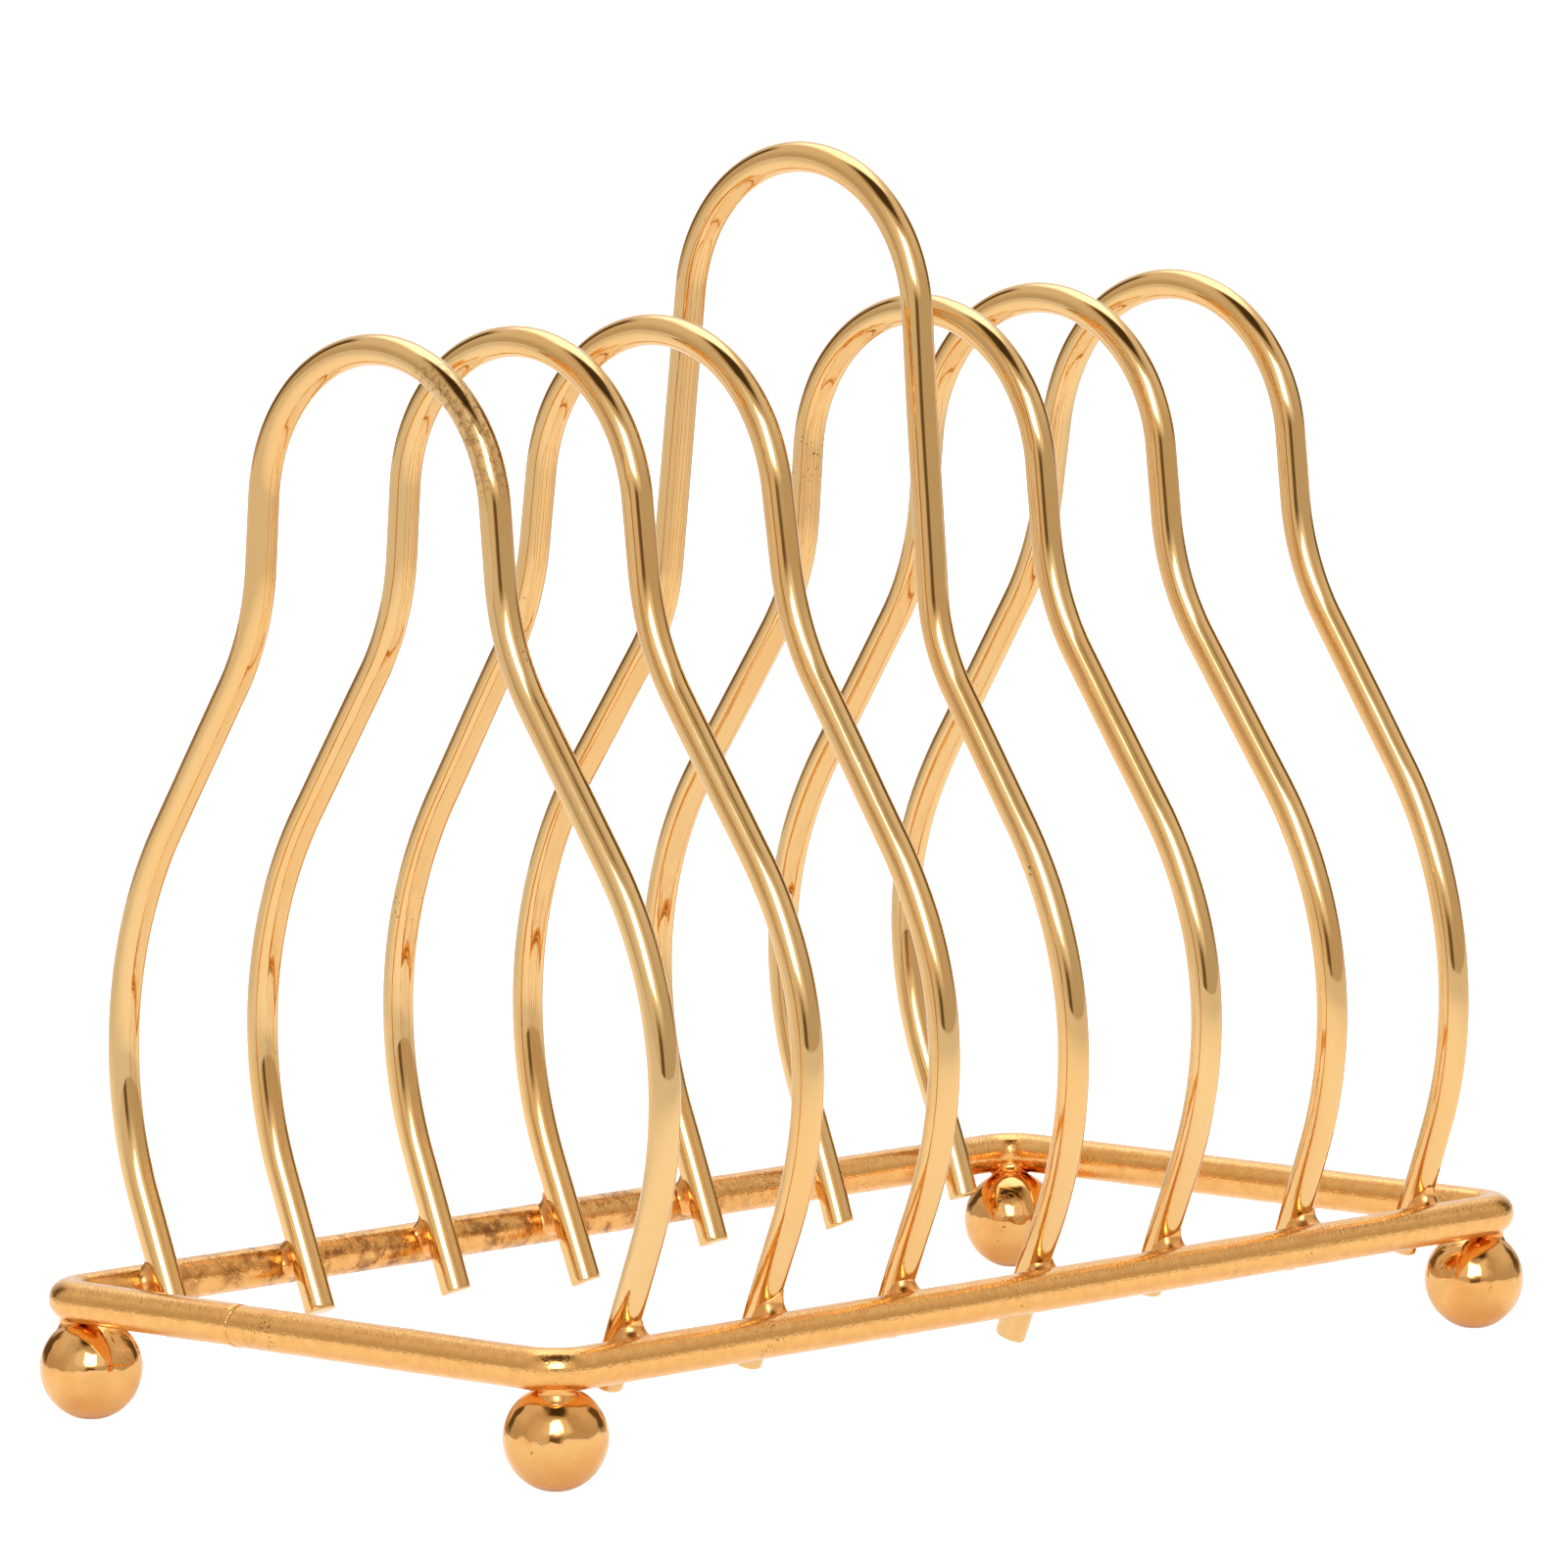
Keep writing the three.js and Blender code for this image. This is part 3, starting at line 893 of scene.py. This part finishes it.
def tarnish_group():
    """Brown patches where the plating was thin: noise inside a soft ellipsoid about a place."""
    group, given, leave = new_group(
        "Tarnish",
        [
            ("Vector", VECTOR, None),
            ("Place", VECTOR, None),
            ("Reach", VECTOR, None),
            ("Scale", NUMBER, 600.0),
        ],
        [("Mask", NUMBER)],
    )
    away = vector_calc(group, "SUBTRACT", given["Vector"], given["Place"])
    away = vector_calc(group, "DIVIDE", away, given["Reach"])
    away = vector_calc(group, "LENGTH", away)
    near = smooth_step(group, away, 0.45, 1.0, 1.0, 0.0)
    speckle = noise(group, given["Vector"], given["Scale"], 5.0, 0.7)
    mask = calc(group, "MULTIPLY", near, smooth_step(group, speckle, 0.44, 0.66))
    group.links.new(mask, leave["Mask"])
    return group


def gold_material(
    name, finish, colours, roughness, pits, wave, lines=None, drift=(38.0, 0.55), tarnish=None
):
    """Gold plating: tone patches, pits, buffing, and draw lines where the piece is a wire.

    colours is (most of it, the patches), roughness (polished, in the duller patches), pits
    (scale, size, spread, patch scale), wave (scale, height) and drift (scale, greatest share).
    lines is (along, across, bump height, roughness added) or None, and tarnish is (middle,
    reach along each axis, scale, greatest share) or None.
    """
    material = bpy.data.materials.get(name)
    if material:
        return material
    material = bpy.data.materials.new(name)
    material.use_nodes = True
    tree = material.node_tree
    shader = tree.nodes["Principled BSDF"]
    shader.inputs["Metallic"].default_value = 1.0
    shader.inputs["IOR"].default_value = 1.45
    place = add_node(tree, "ShaderNodeTexCoord").outputs["Object"]

    def bumped(height, distance, **normal):
        inputs = {"Strength": 1.0, "Distance": distance, "Height": height, **normal}
        return add_node(tree, "ShaderNodeBump", inputs).outputs["Normal"]

    gold, deep = ((*colour, 1) for colour in colours)
    inputs = {"Vector": place, "Gold": gold, "Deep Gold": deep}
    inputs |= {"Scale": drift[0], "Drift": drift[1]}
    tone = use_group(tree, "Plating Tone", plating_tone_group, inputs)
    inputs = {"Vector": place, **dict(zip(("Scale", "Size", "Spread", "Patch Scale"), pits))}
    pit = use_group(tree, "Pits", pits_group, inputs)
    inputs = {"Vector": place, "Wave Scale": wave[0]}
    buff = use_group(tree, "Buffing", buffing_group, inputs)
    colour = mix_colour(tree, pit["Mask"], tone["Color"], (*finish.pit, 1))
    if tarnish:
        inputs = {"Vector": place, **dict(zip(("Place", "Reach", "Scale"), tarnish))}
        brown = use_group(tree, "Tarnish", tarnish_group, inputs)
        share = calc(tree, "MULTIPLY", brown["Mask"], tarnish[3])
        colour = mix_colour(tree, share, colour, (*finish.tarnish, 1))
    low, high = roughness
    dull = smooth_step(tree, tone["Patch"], 0.0, 1.0, low, high)
    dull = calc(tree, "MULTIPLY_ADD", buff["Hairlines"], HAIRLINE_DULLNESS, dull)
    bump = bumped(buff["Wave"], wave[1])
    if lines:
        along, across, height, added = lines
        wire = add_node(
            tree, "ShaderNodeAttribute", attribute_type="GEOMETRY", attribute_name="along_wire"
        ).outputs["Vector"]
        inputs = {"Vector": wire, "Along": along, "Across": across}
        grain = use_group(tree, "Draw Lines", draw_lines_group, inputs)
        dull = calc(tree, "MULTIPLY_ADD", grain["Lines"], added, dull)
        bump = bumped(grain["Height"], height, Normal=bump)
    dull = calc(tree, "MULTIPLY_ADD", pit["Mask"], PIT_DULLNESS, dull, clamp=True)
    bump = bumped(pit["Height"], PIT_DEPTH, Normal=bump)
    tree.links.new(colour, shader.inputs["Base Color"])
    tree.links.new(dull, shader.inputs["Roughness"])
    tree.links.new(bump, shader.inputs["Normal"])
    return material


def bright_wire_gold(finish):
    return gold_material(
        "bright_wire_gold",
        finish,
        (finish.gold, finish.deep_gold),
        roughness=(finish.polish, finish.polish + 0.025),
        pits=(1300.0, 0.3, 0.59, 62.0),
        wave=(210.0, 0.03 * MM),
        lines=(16.0, 1300.0, 0.009 * MM, 0.01),
        tarnish=((-0.0715, -0.014, 0.127), (0.01, 0.013, 0.012), 1300.0, 0.7),
    )


def bright_ball_gold(finish):
    return gold_material(
        "bright_ball_gold",
        finish,
        (finish.ball_gold, finish.worn_gold),
        roughness=(finish.polish, finish.polish + 0.06),
        pits=(900.0, 0.34, 0.56, 80.0),
        wave=(240.0, 0.4 * MM),
        drift=(190.0, 0.8),
    )


def drawn_ring_gold(finish):
    return gold_material(
        "drawn_ring_gold",
        finish,
        (finish.ring_gold, finish.worn_gold),
        roughness=(finish.satin, finish.satin + 0.08),
        pits=(2700.0, 0.42, 0.555, 90.0),
        wave=(2600.0, 0.05 * MM),
        lines=(30.0, 2600.0, 0.03 * MM, 0.05),
        drift=(700.0, 0.6),
        tarnish=((-0.02, RING_HALF_WIDTH, RING_LEVEL), (0.075, 0.009, 0.009), 420.0, 0.9),
    )


def brazed_gold(finish):
    return gold_material(
        "brazed_gold",
        finish,
        (finish.filler_gold, finish.deep_gold),
        roughness=(0.2, 0.32),
        pits=(1500.0, 0.4, 0.58, 90.0),
        wave=(500.0, 0.06 * MM),
        drift=(90.0, 0.8),
    )


# ---------------------------------------------------------------- pieces


class RackOperator:
    """What every toast rack operator shares."""

    bl_options = {"REGISTER", "UNDO"}

    sizes = property(lambda self: bpy.context.scene.rack_sizes)
    finish = property(lambda self: bpy.context.scene.rack_finish)
    studio = property(lambda self: bpy.context.scene.rack_studio)


class RACK_OT_base_ring(RackOperator, bpy.types.Operator):
    """Bend the base ring from one wire, its ends meeting on the left short side"""

    bl_idname = "rack.base_ring"
    bl_label = "Base Ring"

    def execute(self, context):
        path = ring_path(self.sizes, RING_STEP)
        radius = self.sizes.ring_wire
        piece = sheared_wire("base_ring_wire", path, radius, RING_SIDES, RING_SEED, RING_CHAMFER)
        finish_piece(piece, drawn_ring_gold(self.finish), "satin_gold", "base_ring")
        return {"FINISHED"}


class RACK_OT_ring_seam(RackOperator, bpy.types.Operator):
    """Lay the thin, wandering bead in the ring's seam"""

    bl_idname = "rack.ring_seam"
    bl_label = "Ring Seam"

    def execute(self, context):
        piece = seam_bead_piece(self.sizes)
        finish_piece(piece, brazed_gold(self.finish), "braze", "ring_butt_weld")
        return {"FINISHED"}


class RACK_OT_ball_feet(RackOperator, bpy.types.Operator):
    """Turn and polish the four ball feet"""

    bl_idname = "rack.ball_feet"
    bl_label = "Ball Feet"

    def execute(self, context):
        for corner, x, y, seed in feet(BALL_SEED):
            piece = ball_piece(f"ball_{corner}", x, y, self.sizes, seed)
            node = f"ball_foot_{corner}"
            finish_piece(piece, bright_ball_gold(self.finish), "polished_gold", node)
        return {"FINISHED"}


class RACK_OT_slice_arches(RackOperator, bpy.types.Operator):
    """Bend the six slice arches"""

    bl_idname = "rack.slice_arches"
    bl_label = "Slice Arches"

    def execute(self, context):
        for order, arch in enumerate(ARCH_SETTING):
            if arch != "handle_arch":
                piece = arch_piece(arch, self.sizes, ARCH_SEED + order)
                finish_piece(piece, bright_wire_gold(self.finish), "polished_gold", arch)
        return {"FINISHED"}


class RACK_OT_handle_arch(RackOperator, bpy.types.Operator):
    """Bend the taller middle arch, which is the handle"""

    bl_idname = "rack.handle_arch"
    bl_label = "Handle Arch"

    def execute(self, context):
        piece = arch_piece("handle_arch", self.sizes, HANDLE_SEED)
        finish_piece(piece, bright_wire_gold(self.finish), "polished_gold", "handle_arch")
        return {"FINISHED"}


class RACK_OT_leg_brazing(RackOperator, bpy.types.Operator):
    """Run brazing filler round the contact of each leg with its rail"""

    bl_idname = "rack.leg_brazing"
    bl_label = "Leg Brazing"

    def execute(self, context):
        seed = LEG_FILLER_SEED
        for arch in ARCH_SETTING:
            for side in SIDES:
                name = f"filler_{arch}_{side}"
                piece = leg_filler_piece(name, arch, side, self.sizes, seed)
                node = f"leg_braze_{arch}_{side}"
                finish_piece(piece, brazed_gold(self.finish), "braze", node)
                seed += 1
        return {"FINISHED"}


class RACK_OT_foot_brazing(RackOperator, bpy.types.Operator):
    """Run brazing filler between each ball and the ring above it"""

    bl_idname = "rack.foot_brazing"
    bl_label = "Foot Brazing"

    def execute(self, context):
        for corner, x, y, seed in feet(FOOT_FILLER_SEED):
            piece = foot_filler_piece(f"filler_foot_{corner}", x, y, self.sizes, seed)
            finish_piece(piece, brazed_gold(self.finish), "braze", f"foot_braze_{corner}")
        return {"FINISHED"}


# ---------------------------------------------------------------- stage


def camera_axes(studio):
    """Right, up and back directions of the camera from its azimuth, elevation and roll."""
    a, e, r = (math.radians(v) for v in (studio.azimuth, studio.elevation, studio.roll))
    back = Vector((math.sin(a) * math.cos(e), -math.cos(a) * math.cos(e), math.sin(e)))
    right = Vector((math.cos(a), math.sin(a), 0))
    up = back.cross(right)
    turned = right * math.cos(r) + up * math.sin(r)
    return turned, back.cross(turned), back


def studio_world(studio):
    """Soft studio light from every side, as a function of direction only.

    Walls a little brighter higher up, a white backdrop behind the rack with dark gaps beside
    it, a softbox high behind, a dark roof towards the camera, a pale screen to its left, and
    near the camera a softbox with wide shoulders and a dark stand under it. Dark parts are
    warmer than bright ones.
    """
    world = bpy.data.worlds.new("soft_studio")
    world.use_nodes = True
    tree = world.node_tree
    tree.nodes.clear()
    angle = math.radians(studio.azimuth)
    direction = add_node(tree, "ShaderNodeTexCoord").outputs["Generated"]

    def part(axis):
        return vector_calc(tree, "DOT_PRODUCT", direction, axis)

    near = part((math.sin(angle), -math.cos(angle), 0))
    across = part((math.cos(angle), math.sin(angle), 0))
    beside = calc(tree, "ABSOLUTE", across)
    high = part((0, 0, 1))
    rise = calc(tree, "ARCSINE", high)
    turn = calc(tree, "ARCTAN2", beside, near)
    to_left = calc(tree, "ARCTAN2", calc(tree, "MULTIPLY", across, -1.0), near)
    tilt = calc(tree, "ARCTAN2", high, near)

    def climb(value, low, high):
        return smooth_step(tree, value, math.radians(low), math.radians(high))

    def window(value, low, high, soft):
        inside = calc(tree, "SUBTRACT", 1.0, climb(value, high - soft, high + soft))
        return calc(tree, "MULTIPLY", climb(value, low - soft, low + soft), inside)

    def both(first, second):
        return calc(tree, "MULTIPLY", first, second)

    def within(half_width, soft):
        return smooth_step(tree, beside, half_width - soft, half_width + soft, 1.0, 0.0)

    upper = both(climb(rise, 10, 40), climb(turn, 40, 95))
    light = calc(tree, "MULTIPLY_ADD", upper, studio.wall * 0.45, studio.wall * 0.96)
    areas = (  # backdrop, gaps, light behind, roof, screen, shoulders, softbox, stand, below
        (1.0, both(window(turn, 160, 200, 5), window(rise, -10, 45, 5))),
        (0.1, both(window(turn, 118, 142, 3), window(rise, 3, 37, 4))),
        (studio.softbox * 0.32, both(window(tilt, 95, 138, 4), within(0.36, 0.14))),
        (0.05, both(window(tilt, 56, 90, 4), within(0.36, 0.14))),
        (0.74, both(window(to_left, 16, 58, 8), window(rise, -2, 46, 5))),
        (1.0, both(window(turn, -20, 36, 7), window(rise, 13, 45, 5))),
        (studio.softbox, both(window(turn, -20, 14, 3), window(rise, 18, 41, 3))),
        (0.12, both(window(turn, -20, 11, 4), window(rise, -4, 10, 4))),
        (0.6, smooth_step(tree, high, -0.02, 0.0, 1.0, 0.0)),
    )
    for value, share in areas:
        change = calc(tree, "SUBTRACT", value, light)
        light = calc(tree, "MULTIPLY_ADD", share, change, light)

    ramp = add_node(tree, "ShaderNodeValToRGB", {"Fac": calc(tree, "MULTIPLY", light, 0.5)})
    stops = ramp.color_ramp.elements
    stops[0].position, stops[0].color = 0.0, (1.5, 1.0, 0.45, 1)
    stops[1].position, stops[1].color = 1.0, (0.9, 1.0, 1.2, 1)
    stops.new(0.18).color = (1.12, 1.0, 0.85, 1)
    stops.new(0.5).color = (0.985, 1.0, 1.05, 1)
    seen = add_node(tree, "ShaderNodeLightPath").outputs["Is Camera Ray"]
    tint = mix_colour(tree, seen, ramp.outputs["Color"], (1, 1, 1, 1))
    change = calc(tree, "SUBTRACT", 1.0, light)
    light = calc(tree, "MULTIPLY_ADD", seen, change, light)
    sky = add_node(tree, "ShaderNodeBackground", {"Color": tint, "Strength": light})
    leave = add_node(tree, "ShaderNodeOutputWorld")
    tree.links.new(sky.outputs["Background"], leave.inputs["Surface"])
    return world


def pale_floor(studio):
    """Round white floor on which the rack stands, matt, with a painted glow that is brightest close
    to the rack.

    The painted glow fades with the distance from the middle, is dimmed under each ball as a painted
    shadow, and evens out to white where it is seen directly.
    """
    turn = np.linspace(0, 2 * np.pi, 96, endpoint=False)
    reach = np.array([0.3, 1.2, 4.0, 14.0])[::-1, None]
    rows = np.stack(
        np.broadcast_arrays(reach * np.cos(turn), reach * np.sin(turn), 0.0), axis=-1
    )
    floor = grid_mesh("pale_floor", rows, last_tip=[0, 0, 0])
    material = bpy.data.materials.new("matt_white_painted_glow")
    material.use_nodes = True
    tree = material.node_tree
    shader = tree.nodes["Principled BSDF"]
    shader.inputs["Base Color"].default_value = (0.85, 0.85, 0.85, 1)
    shader.inputs["Roughness"].default_value = 0.9
    shader.inputs["Specular IOR Level"].default_value = 0.1
    shader.inputs["Emission Color"].default_value = (1, 1, 1, 1)
    place = add_node(tree, "ShaderNodeTexCoord").outputs["Object"]
    away = vector_calc(tree, "LENGTH", place)
    # painted glow: the floor gives off its own light, brightest close to the rack and fading
    # outwards, a painted pool of light
    bright = studio.floor_glow
    glow = smooth_step(tree, away, 0.1, 0.64, bright, bright * 0.05)
    # painted shadow: the floor's glow is dimmed to 60 percent under each ball
    foot = (abs(BALL_CENTRE[0]), abs(BALL_CENTRE[1]), 0)
    beside = vector_calc(tree, "DISTANCE", vector_calc(tree, "ABSOLUTE", place), foot)
    glow = calc(tree, "MULTIPLY", glow, smooth_step(tree, beside, 0.0, 12 * MM, 0.6, 1.0))
    seen = add_node(tree, "ShaderNodeLightPath").outputs["Is Camera Ray"]
    change = calc(tree, "SUBTRACT", FLOOR_SEEN, glow)
    glow = calc(tree, "MULTIPLY_ADD", seen, change, glow)
    tree.links.new(glow, shader.inputs["Emission Strength"])
    floor.data.materials.append(material)


class RACK_OT_studio(RackOperator, bpy.types.Operator):
    """Set up the camera, the pale floor and the soft studio light"""

    bl_idname = "rack.studio"
    bl_label = "Studio"

    def execute(self, context):
        studio = self.studio
        scene = context.scene
        right, up, back = camera_axes(studio)
        camera = bpy.data.objects.new("camera", bpy.data.cameras.new("camera"))
        camera.data.sensor_width = 36
        camera.data.lens = studio.lens
        camera.data.clip_start, camera.data.clip_end = 0.05, 60
        turn = Matrix((right, up, back)).transposed().to_4x4()
        camera.matrix_world = Matrix.Translation(Vector(LOOK_AT) + back * studio.distance) @ turn
        scene.collection.objects.link(camera)
        scene.camera = camera
        scene.world = studio_world(studio)
        scene.view_settings.view_transform = "Standard"
        pale_floor(studio)
        return {"FINISHED"}


class RACK_PT_panel(bpy.types.Panel):
    """Toast rack operators and settings"""

    bl_idname = "RACK_PT_panel"
    bl_label = "Toast Rack"
    bl_space_type = "VIEW_3D"
    bl_region_type = "UI"
    bl_category = "Toast Rack"

    def draw(self, context):
        layout = self.layout
        for operator in OPERATORS:
            layout.operator(operator.bl_idname)
        scene = context.scene
        for group in (scene.rack_sizes, scene.rack_finish, scene.rack_studio):
            box = layout.box()
            for key in group.bl_rna.properties.keys():
                if key not in {"rna_type", "name"}:
                    box.prop(group, key)


OPERATORS = (
    RACK_OT_studio,
    RACK_OT_base_ring,
    RACK_OT_ring_seam,
    RACK_OT_ball_feet,
    RACK_OT_slice_arches,
    RACK_OT_handle_arch,
    RACK_OT_leg_brazing,
    RACK_OT_foot_brazing,
)
CLASSES = (RackSizes, RackFinish, RackStudio, *OPERATORS, RACK_PT_panel)


def register():
    for kind in CLASSES:
        bpy.utils.register_class(kind)
    bpy.types.Scene.rack_sizes = PointerProperty(type=RackSizes)
    bpy.types.Scene.rack_finish = PointerProperty(type=RackFinish)
    bpy.types.Scene.rack_studio = PointerProperty(type=RackStudio)


def unregister():
    del bpy.types.Scene.rack_studio
    del bpy.types.Scene.rack_finish
    del bpy.types.Scene.rack_sizes
    for kind in reversed(CLASSES):
        bpy.utils.unregister_class(kind)


def main():
    register()
    bpy.ops.rack.studio()
    bpy.ops.rack.base_ring()
    bpy.ops.rack.ring_seam()
    bpy.ops.rack.ball_feet()
    bpy.ops.rack.slice_arches()
    bpy.ops.rack.handle_arch()
    bpy.ops.rack.leg_brazing()
    bpy.ops.rack.foot_brazing()


if __name__ == "__main__":
    main()
